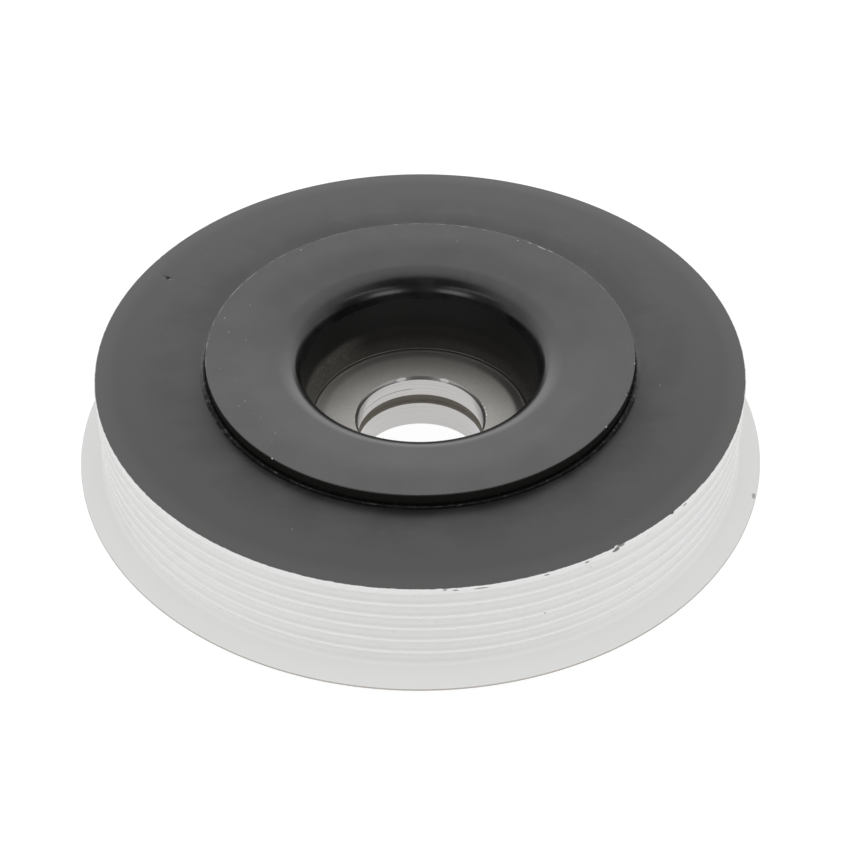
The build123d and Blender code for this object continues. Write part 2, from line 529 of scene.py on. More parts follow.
@dataclass(frozen=True)
class Mark:
    """A flaw of the finish, such as a chip, fleck or scratch.

    Attributes:
        angle: Degrees round the axis from +X.
        radius: Distance from the axis, in mm.
        height: Height above the nose's rear face, in mm.
        length: Size along the circle, in mm.
        width: Size along the radius, in mm.
        tall: Size along the axis, in mm.
        strength: How much it shows, up to 1.
        slant: Degrees by which it is turned away from the circle.
    """

    angle: float
    radius: float
    height: float
    length: float = 0.5
    width: float = 0.5
    tall: float = 0.6
    strength: float = 1.0
    slant: float = 0.0

    @classmethod
    def flat(
        cls, height: float, angle: float, radius: float,
        length: float, width: float, strength: float, slant: float = 0.0,
    ) -> "Mark":
        """A mark that lies on a level face of that height."""
        return cls(angle, radius, height, length, width, strength=strength, slant=slant)

    @property
    def middle(self) -> tuple[float, float, float]:
        """The mark's middle in mm."""
        turn = math.radians(self.angle)
        return (self.radius * math.cos(turn), self.radius * math.sin(turn), self.height)


@dataclass(frozen=True)
class PulleyPaint:
    """Pale satin paint on the belt track, satin black on the rest of the pulley."""

    pale: Colour = (0.75, 0.75, 0.745)
    # Lighter pale inside the grooves is painted light that fills their shade.
    groove_lit_pale: Colour = (0.86, 0.86, 0.85)
    # Darker pale on the upward-facing flange is painted shade.
    flange_shaded_pale: Colour = (0.70, 0.70, 0.695)
    grime: Colour = (0.62, 0.61, 0.59)
    black: Colour = (0.006, 0.006, 0.006)
    # The lighter blacks toward the rim are painted sheen.
    outer_sheen_black: Colour = (0.016, 0.016, 0.016)
    rim_sheen: Colour = (0.034, 0.034, 0.033)
    bare: Colour = (0.10, 0.095, 0.085)
    rust: Colour = (0.32, 0.28, 0.24)
    fleck: Colour = (0.30, 0.30, 0.29)
    paint_edge: float = 34.08     # height where the pale paint stops under the face
    bore_edge: float = 70.4       # radius where it stops on the rim's back
    flange_edge: float = 80.84
    rough: float = 0.60
    sheen: float = 0.27
    coat: float = 0.35
    coat_rough: float = 0.28
    pale_rough: float = 0.50
    pale_sheen: float = 0.46
    # Fitted to one view, not a property of the paint: beside the front plate, on the front
    # side only, the sheen and coat are set lower.
    tucked: tuple[float, float] = (61.0, 52.0)
    tucked_sheen: float = 0.19
    tucked_coat: float = 0.26

    def _pale(self, graph: Graph, chips: Sequence[Mark], fine: object) -> bpy.types.NodeSocket:
        """Colour of the pale paint, with its grime, rusty flange edge and chips, painted light in the
        grooves and painted shade on the flange.

        Args:
            graph: The material that is being built.
            chips: Dark chips.
            fine: A fine noise.

        Returns:
            The colour's socket.
        """
        cloud = graph.noise(graph.place, 0.06, 3.0)
        grime = graph.product(graph.rise(graph.radius, 72.6, 71.5), graph.lerp(cloud, 0.0, 0.35))
        # Painted light: the pale is lighter inside the grooves.
        pale = graph.mix(graph.rise(graph.radius, 74.9, 74.0), self.pale, self.groove_lit_pale)
        # Painted shade: the pale is darker on the flange.
        pale = graph.mix(graph.rise(graph.radius, 75.6, 76.2), pale, self.flange_shaded_pale)
        pale = graph.mix(grime, pale, self.grime)
        pale = graph.mix(graph.rise(fine, 0.62, 0.80), pale, toned(self.pale, 0.96))
        lip = graph.rise(graph.radius, self.flange_edge - 0.03, self.flange_edge)
        pale = graph.mix(graph.product(lip, 0.8), pale, self.rust)
        return graph.mix(graph.marks(chips, 0.10), pale, self.bare)

    def _black(self, graph: Graph, flecks: Sequence[Mark]) -> bpy.types.NodeSocket:
        """Colour of the black paint, with painted sheen that makes it lighter toward the rim.

        Args:
            graph: The material that is being built.
            flecks: Light flecks.

        Returns:
            The colour's socket.
        """
        light = graph.math("MAXIMUM", graph.marks(flecks, 0.08), graph.specks(0.75, 0.735, 0.77, 0.25))
        black = graph.mix(light, graph.haze(0.09, self.black, 2.2), self.fleck)
        # Painted sheen: the black gets lighter toward the rim.
        outer = graph.product(graph.rise(graph.radius, 58.0, 68.0), graph.outside(light))
        black = graph.mix(outer, black, self.outer_sheen_black)
        rim_sheen = graph.product(graph.rise(graph.radius, 69.5, 74.0), 0.9)
        return graph.mix(rim_sheen, black, self.rim_sheen)

    def material(self, chips: Sequence[Mark], flecks: Sequence[Mark]) -> bpy.types.Material:
        """Builds the finish.

        Args:
            chips: Dark chips in the pale paint.
            flecks: Light flecks in the black paint.

        Returns:
            The material.
        """
        graph = Graph("pulley_paint")
        wobble = graph.noise(graph.place, 0.9, 2.0)
        edge = graph.math("MULTIPLY_ADD", wobble, 0.10, graph.height)
        pale_here = graph.product(
            graph.rise(edge, self.paint_edge + 0.08, self.paint_edge + 0.02),
            graph.rise(graph.radius, self.bore_edge - 0.2, self.bore_edge + 0.2),
        )
        fine = graph.noise(graph.place, 1.5, 3.0)
        peel = graph.noise(graph.place, 0.55, 3.0)
        tucked = graph.product(
            graph.rise(graph.radius, *self.tucked), graph.rise(graph.facing(FRONT), 0.0, 0.5)
        )
        sheen = graph.lerp(tucked, self.sheen, self.tucked_sheen)
        coat = graph.lerp(tucked, self.coat, self.tucked_coat)
        return graph.finish(
            Base_Color=graph.mix(pale_here, self._black(graph, flecks), self._pale(graph, chips, fine)),
            Roughness=graph.lerp(pale_here, self.rough, self.pale_rough),
            Specular_IOR_Level=graph.blend(pale_here, sheen, self.pale_sheen),
            Coat_Weight=graph.blend(pale_here, coat, 0.0),
            Coat_Roughness=self.coat_rough,
            Normal=graph.bump(peel, 0.010, graph.bump(fine, 0.003)),
        )


@dataclass(frozen=True)
class PlatePaint:
    """Satin black paint on the pressed front plate, with its sheared edge and a painted highlight along the
    far half of its rim.
    """

    black: Colour = (0.005, 0.005, 0.005)
    shear: Colour = (0.008, 0.0078, 0.0068)
    fleck: Colour = (0.32, 0.32, 0.31)
    chip: Colour = (0.75, 0.75, 0.74)
    edge_radius: float = 49.55
    # A painted highlight runs along the rim on this side.
    highlight_side: Direction = (-0.2, 0.98, 0.0)
    highlight_strength: float = 0.42
    top: float = 36.7
    rough: float = 0.25
    sheens: tuple[float, float] = (0.50, 0.42)    # front and back; fitted to one view
    edge_rough: float = 0.45
    edge_sheen: float = 0.22

    def material(self, flecks: Sequence[Mark], chips: Sequence[Mark]) -> bpy.types.Material:
        """Builds the finish.

        Args:
            flecks: Light flecks and scratches.
            chips: Bright chips on the outer edge.

        Returns:
            The material.
        """
        graph = Graph("plate_paint")
        on_edge = graph.product(
            graph.rise(graph.radius, self.edge_radius, self.edge_radius + 0.1),
            graph.rise(graph.height, self.top - 0.12, self.top - 0.2),
        )
        light = graph.math("MAXIMUM", graph.marks(flecks, 0.08), graph.specks(0.8, 0.74, 0.775, 0.3))
        colour = graph.mix(on_edge, graph.haze(0.11, self.black, 2.0), self.shear)
        colour = graph.mix(light, colour, self.fleck)
        colour = graph.mix(graph.marks(chips, 0.10), colour, self.chip)
        # Painted highlight: a light line just inside the top edge, on the far half only.
        edge_highlight = graph.product(
            graph.rise(graph.radius, self.edge_radius - 0.22, self.edge_radius - 0.08),
            graph.rise(graph.noise(graph.around, 16.0, 4.0, 0.65), 0.42, 0.62),
            graph.rise(graph.facing(self.highlight_side), -0.1, 0.3),
            self.highlight_strength,
        )
        colour = graph.mix(edge_highlight, colour, self.fleck)
        backward = graph.rise(graph.vector("DOT_PRODUCT", graph.place, BACK), -25.0, 30.0)
        sheen = graph.lerp(backward, *self.sheens)
        strokes = graph.spin_noise(0.0, 160.0, 0.35, 3.0)
        peel = graph.noise(graph.place, 0.6, 3.0)
        fine = graph.noise(graph.place, 1.8, 2.0)
        normal = graph.bump(peel, 0.008, graph.bump(fine, 0.002))
        return graph.finish(
            Base_Color=colour,
            Roughness=graph.lerp(on_edge, self.rough, self.edge_rough),
            Specular_IOR_Level=graph.blend(on_edge, sheen, self.edge_sheen),
            Normal=graph.bump(graph.product(strokes, on_edge), 0.18, normal),
        )


@dataclass(frozen=True)
class HubSteel:
    """Turned steel: bright in the bore, dull on the floor, with paint blown down the wall."""

    bright: Colour = (0.53, 0.52, 0.515)
    dull: Colour = (0.338, 0.328, 0.309)
    wall: Colour = (0.030, 0.028, 0.025)
    wall_foot: Colour = (0.10, 0.094, 0.084)
    crest: Colour = (0.24, 0.23, 0.21)
    worn_wall: Colour = (0.19, 0.18, 0.16)
    paint: Colour = (0.0055, 0.0055, 0.0052)
    seam: Colour = (0.02, 0.018, 0.016)
    # Painted shade: a darker ring on the floor beside the wall's foot.
    shade_ring: Colour = (0.064, 0.061, 0.056)
    groove: Colour = (0.34, 0.31, 0.265)
    burr_and_glint: Colour = (0.85, 0.85, 0.84)
    bore_radius: float = 15.0
    bore_top: float = 15.48
    break_depth: float = 0.72
    groove_heights: tuple[float, float] = (7.2, 10.1)
    wall_foot_radius: float = 26.1
    seam_height: float = 15.85
    paint_height: float = 21.6    # the sprayed paint fades out below this height
    paint_fade: float = 2.4
    spray_drift: float = 2.4      # how far the spray's lower edge wanders
    worn_side: Direction = (-0.906, 0.423, 0.0)
    shade_ring_radii: tuple[float, float] = (22.3, 23.7)
    # The ring of painted shade is strongest on this side, where a shadow falls. Fitted to one view.
    shaded_side: Direction = (0.93, -0.37, 0.0)
    scratch_line: tuple[float, float] = (11.84, -0.006)    # height at x = 0, and its rise to a mm
    scratch_span: tuple[float, float] = (-14.2, -2.0)
    scratch_width: float = 0.06
    floor_rough: float = 0.54
    bore_rough: float = 0.22
    break_rough: float = 0.34
    steel_sheen: float = 0.50
    paint_sheen: float = 0.34

    def _scratch(self, graph: Graph) -> bpy.types.NodeSocket:
        """A long scratch that climbs round the bore's left side."""
        along = graph.add("ShaderNodeSeparateXYZ", Vector=graph.place).outputs
        start, slope = self.scratch_line
        line = graph.math("MULTIPLY_ADD", along["X"], slope, start)
        line = graph.math("SUBTRACT", graph.height, line)
        return graph.product(
            graph.band(line, -self.scratch_width, self.scratch_width, self.scratch_width),
            graph.band(along["X"], *self.scratch_span, 2.0),
            graph.rise(along["Y"], 0.0, 1.0),
        )

    def _floor(self, graph: Graph, grit: object) -> bpy.types.NodeSocket:
        """Colour of the dull floor, with a ring of painted shade beside the wall's foot.

        Args:
            graph: The material that is being built.
            grit: A coarse noise.

        Returns:
            The colour's socket.
        """
        dull = graph.mix(graph.noise(graph.place, 0.12, 3.0), self.dull, toned(self.dull, 0.8))
        dull = graph.mix(graph.rise(grit, 0.45, 0.75), dull, toned(self.dull, 0.8))
        # Painted shade: a darker ring on the floor beside the wall's foot, heaviest on one side.
        shade = graph.rise(graph.facing(self.shaded_side), 0.0, 0.85)
        shade_ring = graph.product(graph.rise(graph.radius, *self.shade_ring_radii), graph.lerp(shade, 0.33, 0.97))
        return graph.mix(shade_ring, dull, self.shade_ring)

    def _bore(self, graph: Graph, on_break: object) -> bpy.types.NodeSocket:
        """Colour of the turned bore.

        Args:
            graph: The material that is being built.
            on_break: Where the break at the bore's mouth lies.

        Returns:
            The colour's socket.
        """
        lines = graph.rise(graph.spin_noise(0.0, 0.5, 7.0, 4.0), 0.52, 0.80)
        turned = graph.mix(lines, self.bright, toned(self.bright, 0.72))
        turned = graph.mix(self._scratch(graph), turned, toned(self.bright, 0.16))
        return graph.mix(on_break, turned, toned(self.bright, 0.70))

    def _wall(self, graph: Graph) -> bpy.types.NodeSocket:
        """Colour of the bare wall: stained, paler at its foot, worn on one side."""
        foot = graph.product(
            graph.rise(graph.height, 20.0, 15.8),
            graph.lerp(graph.spin_noise(0.0, 30.0, 1.5, 3.0), 0.3, 1.4),
        )
        worn = graph.product(
            graph.rise(graph.facing(self.worn_side), 0.78, 0.99),
            graph.lerp(graph.spin_noise(0.0, 20.0, 2.0, 5.0), 0.0, 1.3),
        )
        return graph.mix(worn, graph.mix(foot, self.wall, self.wall_foot), self.worn_wall)

    def _foot_lines(self, graph: Graph) -> tuple[bpy.types.NodeSocket, bpy.types.NodeSocket]:
        """The light line inside the wall's foot, and the dark seam under it."""
        crest = graph.product(
            graph.band(graph.radius, self.wall_foot_radius - 0.95, self.wall_foot_radius - 0.70, 0.06),
            graph.rise(graph.height, self.seam_height - 0.10, self.seam_height - 0.15),
            graph.lerp(graph.spin_noise(0.0, 26.0, 0.2, 3.0), 0.35, 1.1),
        )
        seam = graph.product(
            graph.band(graph.height, self.seam_height - 0.35, self.seam_height - 0.2, 0.04),
            graph.rise(graph.radius, self.wall_foot_radius - 0.70, self.wall_foot_radius - 0.45),
            0.8,
        )
        return crest, seam

    def material(self, bright_marks: Sequence[Mark]) -> bpy.types.Material:
        """Builds the finish.

        Args:
            bright_marks: Burrs and glints round the bore's mouth, all white paint that stands in for glints.

        Returns:
            The material.
        """
        graph = Graph("hub_steel")
        rings = graph.spin_noise(5.0, 0.8, 5.0, 3.0)
        grit = graph.noise(graph.place, 1.3, 4.0, 0.65)
        in_bore = graph.product(
            graph.rise(graph.radius, self.bore_radius + 0.8, self.bore_radius + 0.6),
            graph.rise(graph.height, self.bore_top, self.bore_top - 0.04),
        )
        break_foot = self.bore_top - self.break_depth
        on_break = graph.product(in_bore, graph.rise(graph.height, break_foot, break_foot + 0.06))
        in_groove = graph.product(
            graph.rise(graph.radius, self.bore_radius + 0.03, self.bore_radius + 0.10),
            graph.band(graph.height, *self.groove_heights, 0.05),
        )
        on_wall = graph.product(
            graph.rise(graph.height, self.seam_height - 0.15, self.seam_height),
            graph.rise(graph.radius, 31.0, 30.0),
        )
        drift = graph.noise(graph.around, 1.3, 3.0)
        spray_line = graph.math("MULTIPLY_ADD", drift, self.spray_drift, graph.height)
        spray_middle = self.paint_height + self.spray_drift / 2
        painted = graph.product(
            on_wall,
            graph.rise(spray_line, spray_middle - self.paint_fade / 2, spray_middle + self.paint_fade / 2),
        )
        crest, seam = self._foot_lines(graph)
        roof_height = self.groove_heights[1]
        # Painted shade: the groove darkens toward its roof, under the overhang.
        roof_shade = graph.rise(graph.height, roof_height - 0.7, roof_height - 0.2)
        light = graph.marks(bright_marks, 0.12)
        colour = graph.mix(in_bore, self._floor(graph, grit), self._bore(graph, on_break))
        colour = graph.mix(on_wall, colour, self._wall(graph))
        colour = graph.mix(crest, colour, self.crest)
        colour = graph.mix(painted, colour, self.paint)
        colour = graph.mix(seam, colour, self.seam)
        colour = graph.mix(in_groove, colour, graph.mix(roof_shade, self.groove, toned(self.groove, 0.25)))
        # Burrs and glints: white paint that stands in for glints of the lamps.
        colour = graph.mix(light, colour, self.burr_and_glint)
        metal = graph.product(
            graph.outside(painted), graph.outside(in_groove),
            graph.lerp(on_wall, 1.0, 0.65), graph.outside(light),
        )
        rough = graph.lerp(in_bore, self.floor_rough, self.bore_rough)
        pitted = graph.product(grit, graph.outside(graph.math("MAXIMUM", in_bore, on_wall)))
        return graph.finish(
            Base_Color=colour,
            Metallic=metal,
            Roughness=graph.blend(on_break, rough, self.break_rough),
            Specular_IOR_Level=graph.lerp(painted, self.steel_sheen, self.paint_sheen),
            Normal=graph.bump(rings, 0.004, graph.bump(pitted, 0.010)),
        )


@dataclass(frozen=True)
class Rubber:
    """Moulded rubber, shiny on the bead where the mould was polished."""

    black: Colour = (0.005, 0.005, 0.005)
    bloom: Colour = (0.009, 0.009, 0.009)
    bead_radius: float = 49.9
    rough: float = 0.60
    bead_rough: float = 0.30
    bead_sheens: tuple[float, float] = (0.04, 0.30)    # dull, and in its broken highlights
    # Fitted to one view: the bead's outer edge is shinier on its back half.
    back_rough: float = 0.24
    back_sheen: float = 0.36

    def material(self) -> bpy.types.Material:
        """Builds the finish.

        Returns:
            The material.
        """
        graph = Graph("rubber")
        cloud = graph.noise(graph.place, 0.25, 3.0)
        grain = graph.noise(graph.place, 3.0, 2.0)
        ripple = graph.spin_noise(0.5, 14.0, 0.5, 3.0)
        on_bead = graph.rise(graph.radius, self.bead_radius - 0.2, self.bead_radius + 0.2)
        back_edge = graph.product(
            graph.rise(graph.radius, self.bead_radius + 0.3, self.bead_radius + 0.7),
            graph.rise(graph.facing(BACK), -0.35, 0.0),
        )
        broken = graph.rise(graph.noise(graph.place, 0.9, 4.0, 0.7), 0.52, 0.66)
        rough = graph.lerp(on_bead, self.rough, self.bead_rough)
        sheen = graph.lerp(broken, *self.bead_sheens)
        return graph.finish(
            Base_Color=graph.mix(graph.rise(cloud, 0.45, 0.75), self.black, self.bloom),
            Roughness=graph.blend(back_edge, rough, self.back_rough),
            Specular_IOR_Level=graph.blend(back_edge, sheen, self.back_sheen),
            Normal=graph.bump(graph.product(ripple, on_bead), 0.12, graph.bump(grain, 0.01)),
        )


@dataclass(frozen=True)
class PlainFinish:
    """A finish for the pieces that only show from behind.

    Attributes:
        name: The material's name.
        base: Main colour.
        worn: Colour of its clouds.
        metallic: 1 for bare metal.
        rough: Roughness.
        rings: Depth of the turning lines, in mm.
        grain: Depth of the cast or moulded grain, in mm.
        grain_scale: Grains to a millimetre.
    """

    name: str
    base: Colour
    worn: Colour
    metallic: float
    rough: float
    rings: float = 0.0
    grain: float = 0.006
    grain_scale: float = 1.0

    def material(self) -> bpy.types.Material:
        """Builds the finish.

        Returns:
            The material.
        """
        graph = Graph(self.name)
        cloud = graph.rise(graph.noise(graph.place, 0.18, 4.0), 0.35, 0.70)
        grain = graph.noise(graph.place, self.grain_scale, 3.0)
        normal = graph.bump(grain, self.grain)
        if self.rings:
            normal = graph.bump(graph.spin_noise(3.0, 0.8, 3.0), self.rings, normal)
        return graph.finish(
            Base_Color=graph.mix(cloud, self.base, self.worn),
            Metallic=self.metallic,
            Roughness=graph.lerp(grain, self.rough - 0.06, self.rough + 0.06),
            Normal=normal,
        )


def dress(piece: bpy.types.Object, material: bpy.types.Material) -> None:
    """Gives a piece one finish all over.

    Args:
        piece: The piece.
        material: Its finish.
    """
    piece.data.materials.clear()
    piece.data.materials.append(material)


def mount(piece: bpy.types.Object, node: str) -> None:
    """Puts a piece in a node's place on the part.

    Args:
        piece: The finished piece.
        node: The node of the part that it stands for.
    """
    settle_normals(piece)
    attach(piece, ROOT)
    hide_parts(node)
    log.info("%s stands for %s, %d faces", piece.name, node, len(piece.data.polygons))


# ---------------------------------------------------------------- sub-assemblies
@dataclass(frozen=True)
class BeltPulley:
    """Grooved rim, front web and sunken pan, turned in one piece."""

    face: float = 34.3
    rim_radius: float = 75.3
    rim_bore: float = 69.0
    groove_count: int = 6
    groove_pitch: float = 3.56
    groove_mouth: float = 2.8
    first_groove: float = 3.19
    groove_apex: float = 71.4534
    flange_radius: float = 80.9
    flange_front: float = 9.8716
    flange_edge: float = 0.4
    web_inner: float = 51.1
    web_dip: float = 0.5         # how low the web lies beside the plate
    dip_width: float = 5.5
    dip_round: float = 40.0
    rim_slope: float = 4.1       # width and drop of the face beside the rim
    rim_drop: float = 0.20
    web_back: float = 30.8
    step_outer: float = 50.6
    step_inner: float = 47.8
    pan_back: float = 17.0
    pan_front: float = 20.0
    collar_inner: float = 34.1
    collar_outer: float = 36.6
    collar_top: float = 29.5

    def outline(self) -> list[Corner]:
        """Corners of the section, from the web's inner edge round the rim.

        Returns:
            The closed outline.
        """
        corners = [
            Corner(self.web_inner, self.face - self.web_dip),
            Corner(self.web_inner + self.dip_width, self.face, self.dip_round, 8),
            Corner(self.rim_radius - self.rim_slope, self.face),
            Corner(self.rim_radius, self.face - self.rim_drop, 0.35, 5),
        ]
        for index in range(self.groove_count):
            middle = self.face - self.first_groove - index * self.groove_pitch
            corners.append(Corner(self.rim_radius, middle + self.groove_mouth / 2, 0.3, 3))
            corners.append(Corner(self.groove_apex, middle, 0.5, 5))
            if index < self.groove_count - 1:
                corners.append(Corner(self.rim_radius, middle - self.groove_mouth / 2, 0.3, 3))
        back = self.flange_front - self.flange_edge
        return corners + [
            Corner(self.flange_radius, self.flange_front, 0.1, 2),
            Corner(self.flange_radius, back, 0.1, 2),
            Corner(self.rim_bore + 1.0, back, 0.2, 2),
            Corner(self.rim_bore, back + 1.0, 0.2, 2),
            Corner(self.rim_bore, self.web_back, 3.0, 6),
            Corner(self.step_outer, self.web_back, 3.0, 6),
            Corner(self.step_outer, self.pan_back, 3.0, 6),
            Corner(self.collar_inner, self.pan_back, 0.5, 3),
            Corner(self.collar_inner, self.collar_top, 0.2, 2),
            Corner(self.collar_outer, self.collar_top, 0.5, 3),
            Corner(self.collar_outer, self.pan_front, 0.75, 4),
            Corner(self.step_inner, self.pan_front, 0.75, 4),
            Corner(self.step_inner, self.face - 4.8),
            Corner(self.web_inner, self.face - 1.7),
        ]

    def chips(self) -> list[Mark]:
        """Dark chips in the pale paint, by angle, height, length, width, tall and strength."""
        rows = (
            (-86.3, 33.95, 0.9, 1.0, 0.7, 0.55),
            (-84.6, 33.65, 1.2, 1.0, 0.4, 0.8),
            (-80.6, 33.55, 3.4, 1.0, 0.3, 0.9),
            (-69.8, 33.65, 1.3, 1.0, 0.35, 0.9),
            (-62.7, 33.55, 1.1, 1.0, 0.5, 0.8),
            (-57.1, 33.45, 2.0, 1.2, 0.9, 0.95),
            (-56.2, 33.95, 2.4, 1.2, 0.5, 0.8),
            (-41.2, 33.55, 1.2, 1.0, 0.6, 0.8),
            (-69.8, 22.3, 0.6, 1.2, 0.35, 0.8),
            (-52.5, 21.8, 0.6, 1.2, 0.5, 0.7),
            (-52.7, 18.3, 1.1, 1.2, 0.35, 0.6),
        )
        on_flange = Mark(-15.9, 80.3, 10.0, 2.0, 1.0, 0.8, 0.6)
        return [Mark(angle, self.rim_radius, *rest) for angle, *rest in rows] + [on_flange]

    def flecks(self) -> list[Mark]:
        """Light flecks in the black paint, by angle, radius, length, width, strength and slant."""
        rows = (
            (-115.4, 63.5, 0.5, 0.25, 0.55, 0.0),
            (-119.2, 59.0, 0.3, 0.2, 0.4, 0.0),
            (-11.0, 55.8, 0.9, 0.35, 0.25, 30.0),
            (-51.5, 70.2, 0.4, 0.3, 0.5, 0.0),
            (143.0, 66.0, 0.4, 0.3, 0.4, 0.0),
        )
        return [Mark.flat(self.face, *row) for row in rows]

    def dents(self) -> list[Dent]:
        """Knocks in the web and the rim's front edge."""
        return [
            Dent((-61.6, 31.0, self.face), (0.0, 0.0, -0.50), 1.0),
            Dent((53.6, -52.8, 33.9), (0.18, -0.18, 0.10), 0.9),
            Dent((41.2, -63.0, 33.9), (-0.15, 0.22, -0.12), 1.0),
        ]

    def build(self) -> None:
        """Turns, dents, paints and mounts the pulley."""
        piece = Lathe(360).turn("belt_pulley_body", self.outline())
        for dent in self.dents():
            dent.strike(piece)
        dress(piece, PulleyPaint().material(self.chips(), self.flecks()))
        mount(piece, "belt_pulley")


@dataclass(frozen=True)
class CentrePlate:
    """Pressed front plate with the rubber that is bonded behind it."""

    face: float = 34.3
    top: float = 36.7
    radius: float = 49.7
    thickness: float = 2.4
    lip: tuple[Corner, ...] = (    # the roll that shows, from the crown to its lowest edge
        Corner(31.50, 35.66, 7.0, 18),
        Corner(28.15, 32.92, 4.4, 12),
        Corner(27.4, 29.8, 0.2, 4),
    )
    lip_inner: float = 29.4
    well_mouth: float = 28.5
    lip_end: float = 29.3
    bead_radius: float = 51.12
    bead_height: float = 1.0
    bead_drop: float = 0.5
    rubber_inner: float = 38.5
    rubber_outer: float = 44.6
    ring_front: float = 21.5
    specks: tuple[tuple[float, float], ...] = (
        (177.5, 49.3), (-171.4, 46.4), (-165.5, 43.5), (-153.8, 45.3), (-163.8, 41.7), (-148.5, 43.6),
        (-163.9, 38.2), (-146.2, 42.8), (-176.3, 35.9), (-135.4, 45.9), (-137.7, 43.4), (115.3, 35.1),
        (108.3, 34.6), (76.5, 33.7), (72.3, 32.4),
    )

    def plate_outline(self) -> list[Corner]:
        """Corners of the plate's section, with the rollover and break of its sheared edge."""
        outer = self.well_mouth + self.thickness
        return [
            Corner(self.radius - 0.10, self.face),
            Corner(self.radius, self.face + 0.25),
            Corner(self.radius, self.face + 1.5),
            Corner(self.radius - 0.04, self.top, 0.18, 4),
            Corner(42.0, self.top - 0.07, 55.0, 6),
            *self.lip,
            Corner(self.lip_inner, self.lip_end),
            Corner(outer, self.lip_end),
            Corner(outer, self.face, 3.9, 10),
        ]

    def rubber_outline(self) -> list[Corner]:
        """Corners of the coupling rubber's section, with its bead round the plate."""
        drop = self.face - 3.6
        bead_top = self.face - self.bead_drop
        return [
            Corner(self.bead_radius, bead_top),
            Corner(self.bead_radius, bead_top - self.bead_height, 0.25, 4),
            Corner(45.8, bead_top - self.bead_height, 1.0),
            Corner(self.rubber_outer, drop, 1.8, 6),
            Corner(self.rubber_outer, self.ring_front),
            Corner(self.rubber_inner, self.ring_front),
            Corner(self.rubber_inner, drop, 1.8, 6),
            Corner(self.rubber_inner - self.bead_height, self.face),
            Corner(self.radius - 0.50, self.face),
            Corner(self.radius - 0.35, bead_top + 0.05),
            Corner(self.radius + 0.20, bead_top + 0.16, 0.10, 3),
            Corner(self.radius + 0.55, bead_top + 0.10, 0.15, 4),
            Corner(self.radius + 0.80, bead_top, 0.20, 4),
        ]

    def flecks(self) -> list[Mark]:
        """Flecks and scratches in the plate, by angle, radius, length, width, strength and slant."""
        rows = (
            (52.5, 49.2, 2.6, 0.3, 0.9), (49.6, 49.5, 1.6, 0.35, 1.0), (56.5, 49.3, 1.0, 0.3, 0.8),
            (97.0, 49.5, 1.2, 0.3, 0.6), (91.0, 49.5, 2.0, 0.25, 0.5), (84.0, 49.5, 2.4, 0.25, 0.6),
            (77.0, 49.4, 2.0, 0.25, 0.6), (71.0, 49.4, 1.0, 0.25, 0.5), (145.5, 49.4, 5.0, 0.16, 0.5),
            (153.0, 49.45, 7.0, 0.16, 0.45), (162.0, 49.5, 6.0, 0.14, 0.4), (117.0, 36.8, 0.35, 0.35, 0.8),
            (127.0, 48.4, 0.7, 0.3, 0.8), (165.6, 47.5, 0.4, 0.3, 0.8), (171.8, 45.2, 0.4, 0.3, 0.7),
            (174.6, 40.7, 0.35, 0.35, 0.8), (157.5, 43.7, 0.3, 0.3, 0.7), (-155.0, 43.5, 0.35, 0.4, 0.7),
            (60.1, 48.6, 0.6, 0.3, 0.8), (57.4, 39.5, 0.5, 0.35, 0.7, 40.0), (77.6, 43.1, 0.35, 0.3, 0.6),
            (11.7, 38.3, 0.3, 0.3, 0.6),
        )
        specks = [(angle, radius, 0.35, 0.3, 0.30) for angle, radius in self.specks]
        return [Mark.flat(self.top, *row) for row in (*rows, *specks)]

    def chips(self) -> list[Mark]:
        """Bright chips on the plate's outer edge."""
        edge = self.top - 0.1
        return [
            Mark(-6.6, self.radius, edge, 0.5, 0.5, 0.5, 0.9),
            Mark(-19.6, self.radius, edge, 0.8, 0.5, 0.5, 0.9),
            Mark(-33.9, self.radius, edge, 0.5, 0.5, 0.5, 0.6),
            Mark(-130.7, self.radius, edge, 0.5, 0.5, 0.4, 0.7),
        ]

    def dents(self) -> list[Dent]:
        """A nick in the rolled lip and one in the outer edge."""
        return [
            Dent((-27.0, -10.2, 32.6), (0.25, 0.10, -0.1), 0.9),
            Dent((47.0, -16.5, 36.6), (-0.14, 0.05, -0.10), 0.6),
        ]

    def build(self) -> None:
        """Makes, finishes and mounts the plate and its rubber."""
        plate = Lathe(360).turn("front_plate_disc", self.plate_outline())
        for dent in self.dents():
            dent.strike(plate)
        dress(plate, PlatePaint().material(self.flecks(), self.chips()))
        mount(plate, "front_plate")
        rubber = Lathe(288).turn("coupling_rubber_ring", self.rubber_outline())
        dress(rubber, Rubber().material())
        mount(rubber, "coupling_rubber")


